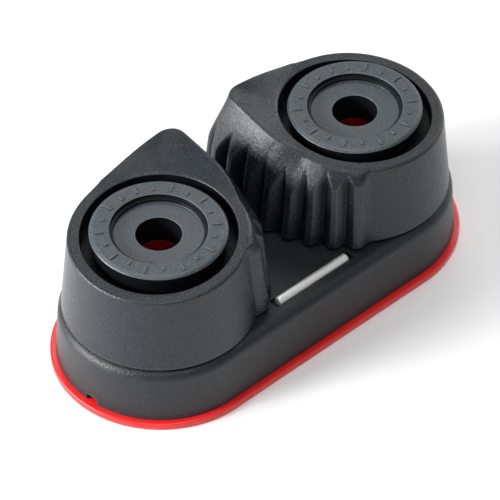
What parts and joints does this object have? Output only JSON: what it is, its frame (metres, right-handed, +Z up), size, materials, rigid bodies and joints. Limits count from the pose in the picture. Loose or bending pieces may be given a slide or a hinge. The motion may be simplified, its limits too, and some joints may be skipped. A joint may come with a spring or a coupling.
{
  "type": "cam cleat",
  "caption": "Small ball-bearing cam cleat: two sprung toothed cams on a stadium base over a red plate, with hollow screw posts and a steel wear bar.",
  "frame": {"origin": "centre of the bottom plate's underside, midway between the two screw holes", "axes": "+X from the left cam's screw hole to the right cam's, +Y towards the tail side that the closed cam noses point to, +Z up out of the mounting surface"},
  "size_m": [0.05, 0.023, 0.019],
  "materials": {
    "base": "satin, fine grain",
    "cam": "satin, fine grain",
    "cap": "satin",
    "red_plate": "semi-gloss",
    "post": "red anodised",
    "steel": "polished stainless",
    "ball": "smooth",
    "spacer": "smooth"
  },
  "bodies": {
    "base": {"bottom_plate": "red_plate", "base_body": "base", "wear_bar": "steel", "left_post": "post", "left_cap": "cap", "left_spring": "steel", "right_post": "post", "right_cap": "cap", "right_spring": "steel"},
    "left_cam": {"left_cam": "cam"},
    "left_bearing": {"left_lower_balls": "ball", "left_middle_balls": "ball", "left_upper_balls": "ball", "left_lower_spacer": "spacer", "left_upper_spacer": "spacer"},
    "right_cam": {"right_cam": "cam"},
    "right_bearing": {"right_lower_balls": "ball", "right_middle_balls": "ball", "right_upper_balls": "ball", "right_lower_spacer": "spacer", "right_upper_spacer": "spacer"}
  },
  "joints": [
    {"name": "left_cam_pivot", "type": "hinge", "parent": "base", "child": "left_cam", "pos_m": [-0.0135, 0, 0.011], "axis": [0, 0, 1], "range_deg": [0, 50], "stiffness_Nm_per_rad": 0.006, "springref_deg": -68.75, "deforming": ["left_spring"]},
    {"name": "right_cam_pivot", "type": "hinge", "parent": "base", "child": "right_cam", "pos_m": [0.0135, 0, 0.011], "axis": [0, 0, -1], "range_deg": [0, 50], "stiffness_Nm_per_rad": 0.006, "springref_deg": -68.75, "deforming": ["right_spring"]},
    {"name": "left_bearing_turn", "type": "hinge", "parent": "base", "child": "left_bearing", "pos_m": [-0.0135, 0, 0.011], "axis": [0, 0, 1], "range_deg": [0, 30]},
    {"name": "right_bearing_turn", "type": "hinge", "parent": "base", "child": "right_bearing", "pos_m": [0.0135, 0, 0.011], "axis": [0, 0, -1], "range_deg": [0, 30]}
  ],
  "couplings": [
    {"joint": "left_bearing_turn", "follows": "left_cam_pivot", "ratio": 0.6},
    {"joint": "right_bearing_turn", "follows": "right_cam_pivot", "ratio": 0.6}
  ]
}
